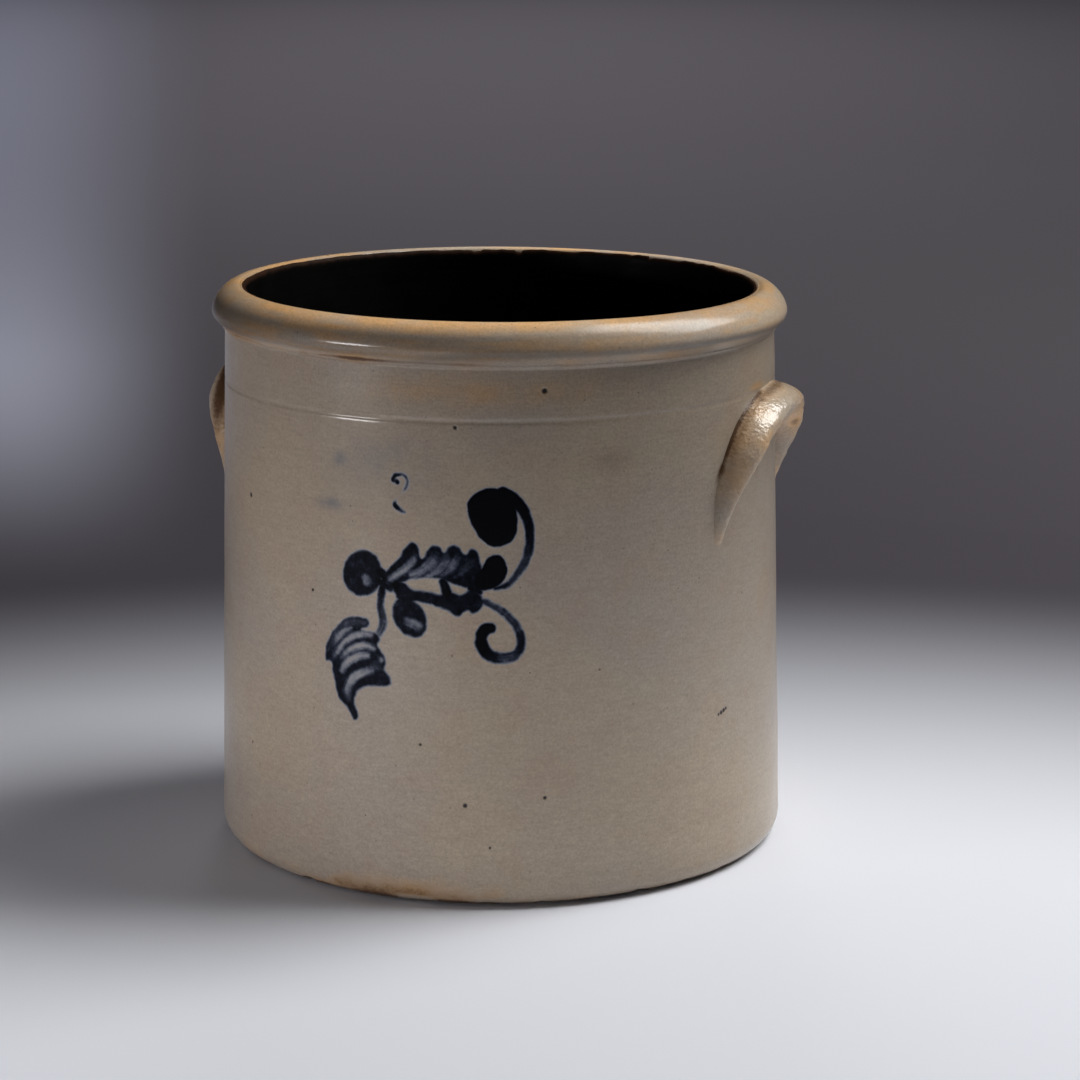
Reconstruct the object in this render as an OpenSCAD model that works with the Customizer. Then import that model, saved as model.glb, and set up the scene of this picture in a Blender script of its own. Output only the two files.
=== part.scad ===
// Salt-glazed stoneware crock: a thrown pot with two luted lug handles,
// a dark slip lining and a trailed cobalt sprig on the front.
// Millimetres, +Z up. The origin is the middle of the foot, the handles lie
// on +X and -X, and the sprig faces -Y.

/* [Body] */
// Height from the foot to the crown of the rim
body_h = 236; // [200:1:320]
// Diameter of the belly, just above the foot
belly_d = 240; // [222:1:300]
// Diameter of the wall where it meets the rim
neck_d = 230; // [200:1:260]
// Thickness of the wall at the neck
wall_t = 8.8; // [6:0.1:14]
// Thickness of the floor
floor_t = 14; // [8:0.5:25]
// Radius of the round between the floor and the inside wall
floor_round = 10; // [3:0.5:25]
// How far the foot is drawn in under the belly
foot_inset = 8; // [2:0.5:16]
// Height of the rounded edge above the foot
foot_round_h = 9; // [3:0.5:25]

/* [Rim] */
// How far the rolled rim stands out from the neck
rim_out = 5.3; // [2:0.1:12]
// Height of the roll above its widest point
roll_top_h = 10.5; // [6:0.5:18]
// Height of the roll below its widest point
roll_under_h = 5; // [2:0.5:10]
// Height of the small bead under the roll
bead_h = 2.2; // [1:0.1:4]
// How far that bead stands out from the neck
bead_out = 1.3; // [0.3:0.1:1.9]
// Width of the lip from the bore to the crown of the rim
lip_w = 4; // [2:0.5:8]
// Drop of the lip from the crown to the bore
lip_drop = 3.2; // [1:0.1:8]

/* [Tooled line] */
// Drop from the crown of the rim to the tooled line
line_drop = 40; // [25:1:120]
// Width of the tooled line
line_w = 2; // [0.8:0.1:5]
// Depth of the tooled line
line_depth = 0.5; // [0.2:0.1:2]

/* [Handles] */
// Drop from the crown of the rim to the top of the right handle's arch
handle_drop = 39; // [30:1:80]
// Height of a handle from its tails to the top of its arch
handle_h = 60; // [45:1:90]
// Width of a handle across its two tails, measured round the wall
handle_w = 108; // [80:1:140]
// How far a handle stands out from the wall
handle_reach = 13; // [8:0.5:24]
// Width of the strap at the middle of its arch
arch_w = 15; // [8:0.5:20]
// Width of the strap where its legs lie on the wall
leg_w = 13.5; // [8:0.5:20]
// Width of a tail at its tip
tail_w = 5; // [3:0.5:8]
// Thickness of a tail at its tip
tail_t = 1.2; // [0.6:0.1:3]
// Share of the right handle's legs that keeps its full reach
right_full = 0.6; // [0.1:0.01:0.7]
// Share of the left handle's legs that keeps its full reach
left_full = 0.3; // [0.1:0.01:0.7]
// How far the left handle is set back from straight across, in degrees
left_turn = 12; // [-15:0.5:15]
// How much higher the left handle is set than the right one
left_lift = 2; // [-5:0.5:5]

/* [Slip lining] */
// Thickness of the dark slip over the inside
lining_t = 0.6; // [0.3:0.1:1.5]

/* [Sprig] */
// Width of the sprig, measured round the wall
sprig_w = 86; // [50:1:110]
// How far the sprig's middle lies to the right of the front, measured round the wall
sprig_shift = 3; // [-20:0.5:20]
// Height of the middle of the sprig above the foot
sprig_mid_h = 122; // [95:1:140]
// How far the slip strokes stand out from the wall
sprig_relief = 0.4; // [0.2:0.1:1.5]

/* [Hidden] */

clay_colour = "#a2978a";
handle_colour = "#a8977c";
slip_colour = "#1a1512";
cobalt_colour = "#1d2536";

// Radii and heights that the pieces share
belly_r = belly_d / 2;
neck_r = neck_d / 2;
foot_r = belly_r - foot_inset;
bore_r = neck_r - wall_t;
crown_r = bore_r + lip_w;
rim_r = neck_r + rim_out;
lip_z = body_h - lip_drop;
roll_z = body_h - roll_top_h;
bead_top_z = roll_z - roll_under_h;
neck_z = bead_top_z - bead_h;
line_z = body_h - line_drop;

// Steps in each quarter round of the turned profile
arc_steps = 8;

// Radius of the plain wall at a height, a straight cone from belly to neck
function wall_r(z) = belly_r + (neck_r - belly_r) * (z - foot_round_h) / (neck_z - foot_round_h);

// Points on an ellipse about a centre, from one angle to another
function arc(centre, rx, rz, from, to, steps = arc_steps) = [
    for (i = [0 : steps])
        let (a = from + (to - from) * i / steps)
        centre + [rx * cos(a), rz * sin(a)]
];

function mix(a, b, t) = a + (b - a) * t;
function smooth(t) = let (c = max(0, min(1, t))) c * c * (3 - 2 * c);

// Outside of the pot, from the foot up to the crown of the rim
function foot_edge() = arc([foot_r, foot_round_h], foot_inset, foot_round_h, -90, 0);
function tooled_line() = [
    for (a = [0 : 180 / arc_steps : 180])
        let (z = line_z - line_w / 2 * cos(a))
        [wall_r(z) - line_depth * sin(a), z]
];
function neck_bead() = arc([neck_r, neck_z + bead_h / 2], bead_out, bead_h / 2, -90, 90);
function roll_under() = arc([neck_r, roll_z], rim_out, roll_under_h, -90, 0);
function roll_top() = arc([crown_r, roll_z], rim_r - crown_r, roll_top_h, 0, 90);

// Inside of the pot, from the crown of the rim down to the middle of the floor,
// drawn in by a skin's thickness
function lip() = arc([crown_r, lip_z], lip_w, lip_drop, 90, 180);
function inside(skin) = concat(
    [[bore_r - skin, lip_z]],
    arc([bore_r - floor_round, floor_t + floor_round], floor_round - skin, floor_round - skin, 0, -90),
    [[0, floor_t + skin]]
);

module thrown_body() {
    color(clay_colour)
        rotate_extrude($fn = 180)
            polygon(concat(
                [[0, 0]], foot_edge(), tooled_line(), neck_bead(), roll_under(), roll_top(), lip(), inside(0)
            ));
}

// The slip coats the bore and the floor up to the lip
module slip_lining() {
    outer = inside(0);
    inner = inside(lining_t);
    color(slip_colour)
        rotate_extrude($fn = 180)
            polygon(concat(outer, [for (i = [len(inner) - 1 : -1 : 0]) inner[i]]));
}

// Handle: a strap of clay bent to an arch and swept along a curve on the wall.
// The curve's points are [round the wall, height].
handle_top_z = body_h - handle_drop;
tail_z = handle_top_z - handle_h;
arch_mid_z = handle_top_z - arch_w / 2;
tail_s = (handle_w - tail_w) / 2;
shoulder_share = 0.72;
knee_share = 0.81;
knee_rise = 0.59;
handle_curve = [
    [0, arch_mid_z],
    [shoulder_share * tail_s, arch_mid_z],
    [knee_share * tail_s, tail_z + knee_rise * handle_h],
    [tail_s, tail_z]
];

// Share of a leg's length where the strap starts to narrow to its tail
narrows_at = 0.72;
leg_steps = 20;
section_steps = 12;
back_steps = 6;
// Play between a handle and the wall that it is luted to
handle_seat = 0.05;

function bezier(p, t) =
    p[0] * pow(1 - t, 3) + p[1] * 3 * t * pow(1 - t, 2) + p[2] * 3 * t * t * (1 - t) + p[3] * pow(t, 3);
function bezier_slope(p, t) =
    (p[1] - p[0]) * pow(1 - t, 2) + (p[2] - p[1]) * 2 * t * (1 - t) + (p[3] - p[2]) * t * t;

function strap_width(t) = t < narrows_at
    ? mix(arch_w, leg_w, smooth(t / narrows_at))
    : mix(leg_w, tail_w, smooth((t - narrows_at) / (1 - narrows_at)));
function strap_height(t, full) = mix(handle_reach, tail_t, smooth((t - full) / (1 - full)));

// A half-round section with its back on the wall, as [across, out from the wall]
function strap_section(w, h) = concat(
    arc([0, handle_seat], w / 2, h - handle_seat, 0, 180, section_steps),
    [for (i = [1 : back_steps - 1]) [w * (i / back_steps - 0.5), handle_seat]]
);

// A point of the wall by its distance round, its height and its distance out
function round_wall(s, z, out) =
    let (a = s / wall_r(arch_mid_z) * 180 / PI, r = wall_r(z) + out)
    [r * cos(a), r * sin(a), z];

// One ring of the strap, at a signed share t of the way from the arch to a tail
function strap_ring(t, full, lift) =
    let (
        side = t < 0 ? -1 : 1,
        at = bezier(handle_curve, abs(t)) + [0, lift],
        slope = bezier_slope(handle_curve, abs(t)),
        along = [slope.x, side * slope.y] / norm(slope)
    )
    [
        for (p = strap_section(strap_width(abs(t)), strap_height(abs(t), full)))
            round_wall(side * at.x - along.y * p.x, at.y + along.x * p.x, p.y)
    ];

module strap(full, lift) {
    rings = [for (i = [-leg_steps : leg_steps]) strap_ring(i / leg_steps, full, lift)];
    n = len(rings[0]);
    last = (len(rings) - 1) * n;
    crown = section_steps / 2;
    sides = [
        for (i = [0 : len(rings) - 2])
            for (j = [0 : n - 1])
                let (a = i * n + j, b = i * n + (j + 1) % n)
                each [[a, b, a + n], [b, b + n, a + n]]
    ];
    ends = [
        for (j = [1 : n - 2])
            let (a = (crown + j) % n, b = (crown + j + 1) % n)
            each [[crown, b, a], [last + crown, last + a, last + b]]
    ];
    polyhedron(points = [for (r = rings) each r], faces = concat(sides, ends), convexity = 6);
}

module handle(full, turn, lift) {
    color(handle_colour)
        rotate([0, 0, turn])
            strap(full, lift);
}

module right_handle() {
    handle(right_full, 0, 0);
}

module left_handle() {
    mirror([1, 0, 0])
        handle(left_full, left_turn, left_lift);
}

// Sprig: strokes and buds of trailed slip, laid out flat and wrapped on the wall.
// Points and widths are in hundredths of the sprig's width, from its middle.
sprig_scale = sprig_w / 100;
sprig_r = wall_r(sprig_mid_h);
stroke_steps = 4;
bud_steps = 24;
// Slip runs together over gaps narrower than twice this, in hundredths of the width
run_in = 0.4;
// Play between the sprig and the wall that it lies on
sprig_seat = 0.05;

// Each stroke is a list of [across, up, stroke width]
upper_scroll = [
    [31, 9.5, 2], [37, 12.5, 4.2], [44.5, 19, 4.4],
    [49, 29, 4.2], [48.5, 40, 4.6], [42, 49, 6.5]
];
lower_scroll = [
    [22, 6, 4], [32, 2, 4], [41, -4, 4.2], [46.5, -12, 4],
    [46, -19, 4], [39, -22.5, 5], [31, -20, 8], [28, -14, 8]
];
stem = [
    [-15, 12.5, 5], [-18, 8, 4.6], [-19.5, 0, 4], [-19, -8, 4.2],
    [-22, -14, 4.4], [-30, -16.5, 3.4], [-38, -21, 3], [-45.6, -26, 3]
];
spine = [
    [-16, 12, 2.4], [-8, 13.5, 2], [0, 13.8, 2], [7, 12.8, 2.6],
    [16, 11.2, 3.4], [25, 10.2, 5], [32, 9.5, 4]
];
spine_bridge = [[10, 12.5, 3], [12.5, 4, 4]];
wing_feathers = [
    [[-14.5, 12.5, 4.5], [-8, 19, 9], [-4, 28, 6]],
    [[-4, 14.5, 4], [5, 20.5, 8.5], [7.5, 28, 5.6]],
    [[6, 13.5, 5], [13, 21, 7.6], [15, 28, 5.6]],
    [[18, 11.5, 8], [23, 19, 9], [24, 26, 6.4]]
];
wing_under = [[-11, 9, 5], [-3, 6.5, 5], [6, 3.8, 5.4], [15, 1, 6], [25, 2, 5]];
wing_scallops = [[[16, 1, 4], [18, -2.2, 3]], [[24, 2, 5], [25, -0.5, 4]]];
bud_neck = [[-11, 11, 6], [-8, 6, 7.5], [-6, 0, 9]];
leaf_curl = [
    [-26.5, -10, 3.6], [-32, -8, 4], [-38.5, -11, 4],
    [-44, -16, 4], [-47.5, -22, 4], [-48.5, -28, 2.4]
];
leaf_edge = [[-43.5, -28, 3.4], [-43.5, -35, 4.2], [-41, -41, 4.4], [-37.5, -48, 4.2], [-32.5, -55, 2.6]];
leaf_ribs = [
    [[-20.5, -17.5, 1.8], [-30, -18.5, 1.8], [-38, -24, 1.8], [-44, -30, 2.4]],
    [[-22, -22, 1.8], [-29, -23, 1.6], [-37, -28, 1.8], [-42, -32, 2.4]],
    [[-18, -24.5, 3.4], [-24, -26, 3.2], [-31, -29.5, 2.6], [-39, -36, 2.4]],
    [[-15, -35.5, 4.4], [-22, -35, 4.8], [-30, -39, 4.6], [-34, -46, 4.4]]
];
leaf_scallop = [[-20, -19, 2], [-17.5, -23, 3], [-19, -31, 2]];

// Each bud is [across, up, half length, half width, lean]
big_bulb = [33.4, 42.6, 13.8, 10.8, 27];
small_bulb = [33.7, 17.7, 8.8, 5.8, -18];
low_bulb = [30.5, -11.5, 6.4, 5.8, 0];
flower = [-29.5, 13.8, 10.6, 10.4, 0];
oval_bud = [-5.6, -6, 11.6, 8.8, 40];

// A flat point wrapped on the wall, seen square on
function wrap(p) =
    let (s = p.x * sprig_scale + sprig_shift)
    [sprig_r * sin(s / sprig_r * 180 / PI), p.y * sprig_scale];

// A smooth curve through the points of a stroke, with its width
function between(p, i, t) =
    let (a = p[max(i - 1, 0)], b = p[i], c = p[i + 1], d = p[min(i + 2, len(p) - 1)])
    b + (c - a) * t / 2 + (2 * a - 5 * b + 4 * c - d) * t * t / 2 + (3 * (b - c) + d - a) * pow(t, 3) / 2;
function curve(p) = concat(
    [for (i = [0 : len(p) - 2], j = [0 : stroke_steps - 1]) between(p, i, j / stroke_steps)],
    [p[len(p) - 1]]
);

function flat(p) = [p.x, p.y];
function turned(v, a) = [v.x * cos(a) - v.y * sin(a), v.x * sin(a) + v.y * cos(a)];

// Points beside a curve, half its width to the left of its run
function heading(c, i) =
    let (d = flat(c[min(i + 1, len(c) - 1)] - c[max(i - 1, 0)]))
    d / norm(d);
function beside(c, i, a) = flat(c[i]) + turned(heading(c, i), a) * c[i].z / 2;

module stroke(points) {
    c = curve(points);
    last = len(c) - 1;
    left = [for (i = [0 : last]) beside(c, i, 90)];
    nose = [for (a = [60 : -30 : -60]) beside(c, last, a)];
    right = [for (i = [last : -1 : 0]) beside(c, i, -90)];
    tail = [for (a = [-120 : -30 : -240]) beside(c, 0, a)];
    polygon([for (p = concat(left, nose, right, tail)) wrap(p)]);
}

module bud(b) {
    polygon([
        for (i = [0 : bud_steps - 1])
            let (a = 360 * i / bud_steps)
            wrap([b[0], b[1]] + turned([b[3] * cos(a), b[2] * sin(a)], b[4]))
    ]);
}

module sprig_outline() {
    all_strokes = concat(
        [upper_scroll, lower_scroll, stem, spine, spine_bridge, wing_under, bud_neck],
        [leaf_curl, leaf_edge, leaf_scallop],
        wing_feathers,
        wing_scallops,
        leaf_ribs
    );
    offset(delta = -run_in * sprig_scale)
        offset(delta = run_in * sprig_scale) {
            for (s = all_strokes)
                stroke(s);
            for (b = [big_bulb, small_bulb, low_bulb, flower, oval_bud])
                bud(b);
        }
}

// The wall as a solid cone, grown by a skin's thickness
module wall_cone(skin) {
    translate([0, 0, foot_round_h])
        cylinder(h = neck_z - foot_round_h, r1 = belly_r + skin, r2 = neck_r + skin, $fn = 180);
}

module cobalt_sprig() {
    color(cobalt_colour)
        intersection() {
            difference() {
                wall_cone(sprig_relief);
                wall_cone(sprig_seat);
            }
            translate([0, 0, sprig_mid_h])
                rotate([90, 0, 0])
                    linear_extrude(height = belly_r + neck_r)
                        sprig_outline();
        }
}

thrown_body();
left_handle();
right_handle();
slip_lining();
cobalt_sprig();
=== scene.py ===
import itertools
import math

import bpy
import numpy as np
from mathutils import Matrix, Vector


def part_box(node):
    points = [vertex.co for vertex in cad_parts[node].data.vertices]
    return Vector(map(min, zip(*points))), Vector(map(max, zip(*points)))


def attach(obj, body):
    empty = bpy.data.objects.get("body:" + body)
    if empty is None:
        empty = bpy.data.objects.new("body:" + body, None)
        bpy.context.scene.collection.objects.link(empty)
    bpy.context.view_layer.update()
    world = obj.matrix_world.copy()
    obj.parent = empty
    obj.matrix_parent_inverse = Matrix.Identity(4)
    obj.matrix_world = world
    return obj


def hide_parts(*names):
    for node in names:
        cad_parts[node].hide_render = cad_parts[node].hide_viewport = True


# Salt-glazed stoneware crock. Shapes are worked out in millimetres in the frame of the
# solids: +Z up, the sprig faces -Y and the right handle lies on +X.
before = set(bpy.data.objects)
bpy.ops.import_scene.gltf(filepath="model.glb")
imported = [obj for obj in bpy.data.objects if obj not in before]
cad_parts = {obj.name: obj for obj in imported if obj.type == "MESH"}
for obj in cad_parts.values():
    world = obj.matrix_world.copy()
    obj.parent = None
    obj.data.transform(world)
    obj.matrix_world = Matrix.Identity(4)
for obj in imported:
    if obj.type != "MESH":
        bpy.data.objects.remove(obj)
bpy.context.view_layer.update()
MM = 0.001

# Pot, with its height and rim from the solids
BODY_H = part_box("thrown_body")[1].z / MM
RIM_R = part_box("thrown_body")[1].y / MM
BELLY_R = 120.0
NECK_R = 115.0
WALL_T = 8.8
FLOOR_T = 14.0
FLOOR_ROUND = 10.0
FOOT_INSET = 8.0
FOOT_ROUND_H = 9.0
BASE_HOLLOW = 0.7
ROLL_TOP_H = 10.5
ROLL_UNDER_H = 5.0
ROLL_FULL = 1.7
BEAD_H = 2.2
BEAD_OUT = 1.3
LIP_W = 4.0
LIP_DROP = 3.2
LINE_DROP = 40.0
LINE_W = 2.0
LINE_DEPTH = 0.19

FOOT_R = BELLY_R - FOOT_INSET
BORE_R = NECK_R - WALL_T
CROWN_R = BORE_R + LIP_W
LIP_Z = BODY_H - LIP_DROP
ROLL_Z = BODY_H - ROLL_TOP_H
BEAD_TOP_Z = ROLL_Z - ROLL_UNDER_H
NECK_Z = BEAD_TOP_Z - BEAD_H
LINE_Z = BODY_H - LINE_DROP
AROUND = 480
ALL_ROUND = np.arange(AROUND) / AROUND * 2 * math.pi
INSIDE_WEAR = 0.2
CHIP_DEPTH = 0.7

# The rim of the thrown pot lies a little low and out of level, lowest at a turn from the front
RIM_DROP = 1.25
RIM_TILT = 0.6
RIM_LOW_TURN = 110.0

# Handles. A strap has the share of its leg where it starts to thin, the slope of its outer flank,
# its charring and how far out that lies, its turn and lift, and 1 or -1 for right or left
HANDLE_DROP = 39.0
HANDLE_H = 60.0
HANDLE_W = 108.0
HANDLE_REACH = 13.0
HANDLE_TOP_Z = BODY_H - HANDLE_DROP
ARCH_W = 15.0
LEG_W = 13.5
TAIL_W = 5.0
TAIL_T = 1.2
RIGHT_STRAP = dict(full=0.45, slope=1.4, char=0.62, char_out=3.4, turn=0.0, lift=0.0, side=1)
# The left strap's heavier charring is partly painted shade on its flank
LEFT_STRAP = dict(full=0.4, slope=0.8, char=0.95, char_out=6.5, turn=12.0, lift=2.0, side=-1)

# Slip lining and sprig
LINING_T = 0.6
LINING_BED = 0.9
LINING_TUCK = 0.5
LINING_START = 3.0
SPRIG_W = 86.0
SPRIG_SHIFT = 3.0
SPRIG_MID_H = 122.0
SPRIG_RELIEF = 0.08


# Small helpers

def mix(a, b, t):
    return a + (b - a) * t


def smooth(low, high, x):
    """0 before low, 1 past high and a soft step between; low may be the larger."""
    t = np.clip((x - low) / (high - low), 0, 1)
    return t * t * (3 - 2 * t)


def bell(x, middle, width):
    return np.exp(-(((x - middle) / width) ** 2))


def lattice(x, y, z, seed):
    """A repeatable random value from 0 to 1 at each whole point."""
    h = (x * 374761393 + y * 668265263 + z * 1440662683 + seed * 974634777) & 0xFFFFFFFF
    h = ((h ^ (h >> 13)) * 1274126177) & 0xFFFFFFFF
    return ((h ^ (h >> 16)) & 0xFFFF) / 65535.0


def noise(p, size, seed=0):
    """Smooth noise from -1 to 1 at points p, in blobs about size across."""
    q = p / np.array(size, float)
    cell = np.floor(q).astype(np.int64)
    f = q - cell
    w = f * f * (3 - 2 * f)
    total = np.zeros(p.shape[:-1])
    for corner in itertools.product((0, 1), repeat=3):
        c = np.array(corner)
        weight = np.prod(np.where(c == 1, w, 1 - w), axis=-1)
        at = cell + c
        total += weight * lattice(at[..., 0], at[..., 1], at[..., 2], seed)
    return total * 2 - 1


def around(theta, r, z):
    """Points by their angle from the front, positive to the right, and radius and height."""
    theta, r, z = np.broadcast_arrays(theta, r, z)
    return np.stack([r * np.sin(theta), -r * np.cos(theta), z], axis=-1)


def grid_faces(rows, cols, closed=False, first=0):
    """Quads between neighbouring rows; a closed grid joins its last column to its first."""
    i = np.arange(rows - 1)[:, None]
    j = np.arange(cols if closed else cols - 1)[None, :]
    k = (j + 1) % cols
    quads = np.stack([i * cols + j, i * cols + k, (i + 1) * cols + k, (i + 1) * cols + j], axis=-1)
    return (quads.reshape(-1, 4) + first).tolist()


def fan_faces(centre, ring):
    return [[centre, a, b] for a, b in zip(ring, ring[1:] + ring[:1])]


def capped_faces(rows, cols):
    """Quads of a closed grid, and fans that join its end rings to two further points."""
    first = list(range(cols))
    last = [(rows - 1) * cols + j for j in first]
    count = rows * cols
    caps = fan_faces(count, first[::-1]) + fan_faces(count + 1, last)
    return grid_faces(rows, cols, closed=True) + caps


def capped_values(marks, **ends):
    """Values at the points of a capped grid; those at its two further points are 0 unless given."""
    return {key: np.append(values, [ends.get(key, 0)] * 2) for key, values in marks.items()}


def add_object(name, data):
    thing = bpy.data.objects.new(name, data)
    bpy.context.scene.collection.objects.link(thing)
    return thing


def make_piece(name, points, faces, material, attributes=None):
    """A smooth-shaded mesh from points in millimetres, with named values at its points."""
    mesh = bpy.data.meshes.new(name)
    mesh.from_pydata((points * MM).tolist(), [], faces)
    for key, values in (attributes or {}).items():
        layer = mesh.attributes.new(key, "FLOAT", "POINT")
        layer.data.foreach_set("value", np.asarray(values, np.float32).ravel())
    mesh.shade_smooth()
    mesh.materials.append(material)
    mesh.validate()
    return add_object(name, mesh)


def linear(r, g, b):
    """A colour given as 0 to 255 on a screen, as linear light with alpha."""
    channels = np.array([r, g, b]) / 255
    light = np.where(channels <= 0.04045, channels / 12.92, ((channels + 0.055) / 1.055) ** 2.4)
    return (*light.tolist(), 1.0)


# Materials

class Paint:
    """A material whose nodes are added with short calls. A value or a socket feeds any input."""

    def __init__(self, name):
        self.material = bpy.data.materials.new(name)
        self.material.use_nodes = True
        self.tree = self.material.node_tree
        self.shader = self.tree.nodes["Principled BSDF"]
        place = self.add("ShaderNodeTexCoord").outputs["Object"]
        self.mm = self.vector("MULTIPLY", place, [1 / MM] * 3)

    def feed(self, node, inputs):
        for key, value in inputs.items():
            if isinstance(value, bpy.types.NodeSocket):
                self.tree.links.new(value, node.inputs[key])
            else:
                node.inputs[key].default_value = value

    def add(self, kind, inputs=None, **settings):
        """A node with its settings, and with what feeds its inputs, by their names or numbers."""
        node = self.tree.nodes.new(kind)
        for key, value in settings.items():
            setattr(node, key, value)
        self.feed(node, inputs or {})
        return node

    def set(self, **inputs):
        """Feeds the shader, with _ for the spaces in an input's name."""
        self.feed(self.shader, {key.replace("_", " "): value for key, value in inputs.items()})

    def math(self, operation, *values):
        return self.add("ShaderNodeMath", dict(enumerate(values)), operation=operation).outputs[0]

    def vector(self, operation, *values):
        node = self.add("ShaderNodeVectorMath", dict(enumerate(values)), operation=operation)
        is_number = operation in ("DISTANCE", "DOT_PRODUCT")
        return node.outputs["Value" if is_number else "Vector"]

    def times(self, a, b):
        return self.math("MULTIPLY", a, b)

    def plus(self, total, *terms):
        """A total with further values added, each as (value, share)."""
        for value, share in terms:
            total = self.math("MULTIPLY_ADD", value, share, total)
        return total

    def steps(self, value, low, high, to_low=0.0, to_high=1.0):
        """A soft step of a value between low and high, mapped to another pair."""
        inputs = {"Value": value, "From Min": low, "From Max": high}
        inputs |= {"To Min": to_low, "To Max": to_high}
        node = self.add("ShaderNodeMapRange", inputs, interpolation_type="SMOOTHSTEP")
        return node.outputs["Result"]

    def grain(self, size, detail=2.0, stretch=(1, 1, 1), rough=0.5):
        """Noise from 0 to 1 in blobs about size millimetres across, stretched along an axis."""
        at = self.mm if stretch == (1, 1, 1) else self.vector("DIVIDE", self.mm, stretch)
        inputs = {"Vector": at, "Scale": 1 / size, "Detail": detail, "Roughness": rough}
        return self.add("ShaderNodeTexNoise", inputs).outputs["Fac"]

    def specks(self, spacing, radius, share):
        """Round specks, at a share of the cells of a random pattern; up to 1 inside a speck."""
        cells = self.add("ShaderNodeTexVoronoi", {"Vector": self.mm, "Scale": 1 / spacing}).outputs
        near = self.steps(cells["Distance"], radius / spacing, 0.4 * radius / spacing)
        random = self.add("ShaderNodeSeparateColor", {"Color": cells["Color"]}).outputs
        chosen = self.math("LESS_THAN", random["Red"], share)
        return self.times(near, self.times(chosen, random["Green"]))

    def value(self, name):
        return self.add("ShaderNodeAttribute", attribute_name=name).outputs["Fac"]

    def mixed(self, share, a, b, **settings):
        inputs = {0: share, 6: a, 7: b}
        return self.add("ShaderNodeMix", inputs, data_type="RGBA", **settings).outputs[2]

    def blend(self, a, b, share):
        return self.mixed(share, a, b, clamp_factor=True)

    def tint(self, colour, level):
        """A colour made lighter or darker by a level around 1."""
        grey = self.add("ShaderNodeCombineColor", {"Red": level, "Green": level, "Blue": level})
        return self.mixed(1.0, colour, grey.outputs["Color"], blend_type="MULTIPLY")

    def ramp(self, value, stops):
        node = self.add("ShaderNodeValToRGB", {"Fac": value})
        points = node.color_ramp.elements
        while len(points) < len(stops):
            points.new(1.0)
        for point, (at, colour) in zip(points, stops):
            point.position = at
            point.color = colour
        return node.outputs["Color"]

    def bump(self, height):
        """A surface normal from a height in millimetres."""
        inputs = {"Strength": 1.0, "Distance": MM, "Height": height}
        return self.add("ShaderNodeBump", inputs).outputs["Normal"]


def wall_r(z):
    """Radius of the plain wall at a height, a straight cone from belly to neck."""
    return mix(BELLY_R, NECK_R, (z - FOOT_ROUND_H) / (NECK_Z - FOOT_ROUND_H))


SPRIG_R = wall_r(SPRIG_MID_H)

# Lightness of the clay, from the pale base to the darker neck, and over the handles from the tails to
# the arch.
# The roll is darker clay, with painted shade on its left and painted light on its right; its crown is
# painted lighter, most at the front, as painted light on its upward face
BASE_TONE = 1.02
NECK_TONE = 0.68
NECK_LEFT_TONE = 0.84
ROLL_TONE = 0.52
ROLL_LEFT_SHADE = 0.32
ROLL_RIGHT_LIGHT = 1.08
CROWN_LIGHT = 1.78
CROWN_LEFT_LIGHT = 1.25
CROWN_RIGHT_LIGHT = 1.15
TAIL_TONE = 0.86
ARCH_TONE = 1.27

# Painted shade in the crease on the wall along the outer edge of the right handle's near leg
CREASE_TURN = 66.4
CREASE_LEAN = 0.363
CREASE_Z = 168.0

# Zones round the pot, as turns in degrees at which a zone starts, is full, begins to fade and ends
LEFT_ZONE = (-15, -60, -125, -178)
RIGHT_ZONE = (15, 62, 110, 150)
ROLL_RIGHT_ZONE = (-10, 55, 110, 150)
SHADED_ZONE = (-12, 16, 110, 150)

# Soft spots on the wall, as (round the wall from the front, height, half width, half depth)
STAMP = (-10, 178, 24, 13)
SMEAR = (-37, 160.3, 6.5, 2.2)
DAB = (-33, 178.8, 3.2, 3.2)
# Painted shade on the wall under the right handle's arch
ARCH_SHADE_SPOT = (79.7, 179.9, 8, 4.8)

# Small marks on the wall, as [round the wall from the front, height, radius]
PITS = [
    [52.4, 208.3, 1.6], [17.1, 194.0, 1.3], [20.7, 42.9, 1.4], [51.9, 45.9, 1.2], [2.8, 66.8, 1.0],
    [-88.6, 155.8, 1.3], [-46.4, 124.0, 0.9], [74.3, 96.4, 0.8], [-87.1, 52.4, 0.9], [30.4, 25.8, 0.9],
    [133.6, 68.7, 1.1], [135.3, 69.2, 1.4], [137.0, 69.8, 1.4], [138.5, 70.3, 1.1],
]

GREY_CLAY = linear(164, 152, 139)
TAN_CLAY = linear(172, 156, 136)
PINK_CLAY = linear(168, 146, 129)
TOASTED = linear(192, 152, 106)
SCORCH_AND_SHADE_BROWN = linear(84, 58, 38)
IRON = linear(62, 46, 36)
PIT = linear(26, 20, 17)
BLUE_CAST = linear(92, 98, 110)
COAT = 0.6
COAT_ROUGHNESS = 0.18
COAT_IOR = 1.5
HANDLE_COAT_IOR = 1.75
GLOSS = 0.2
WALL_PEEL = 0.03
HANDLE_PEEL = 0.32


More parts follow.
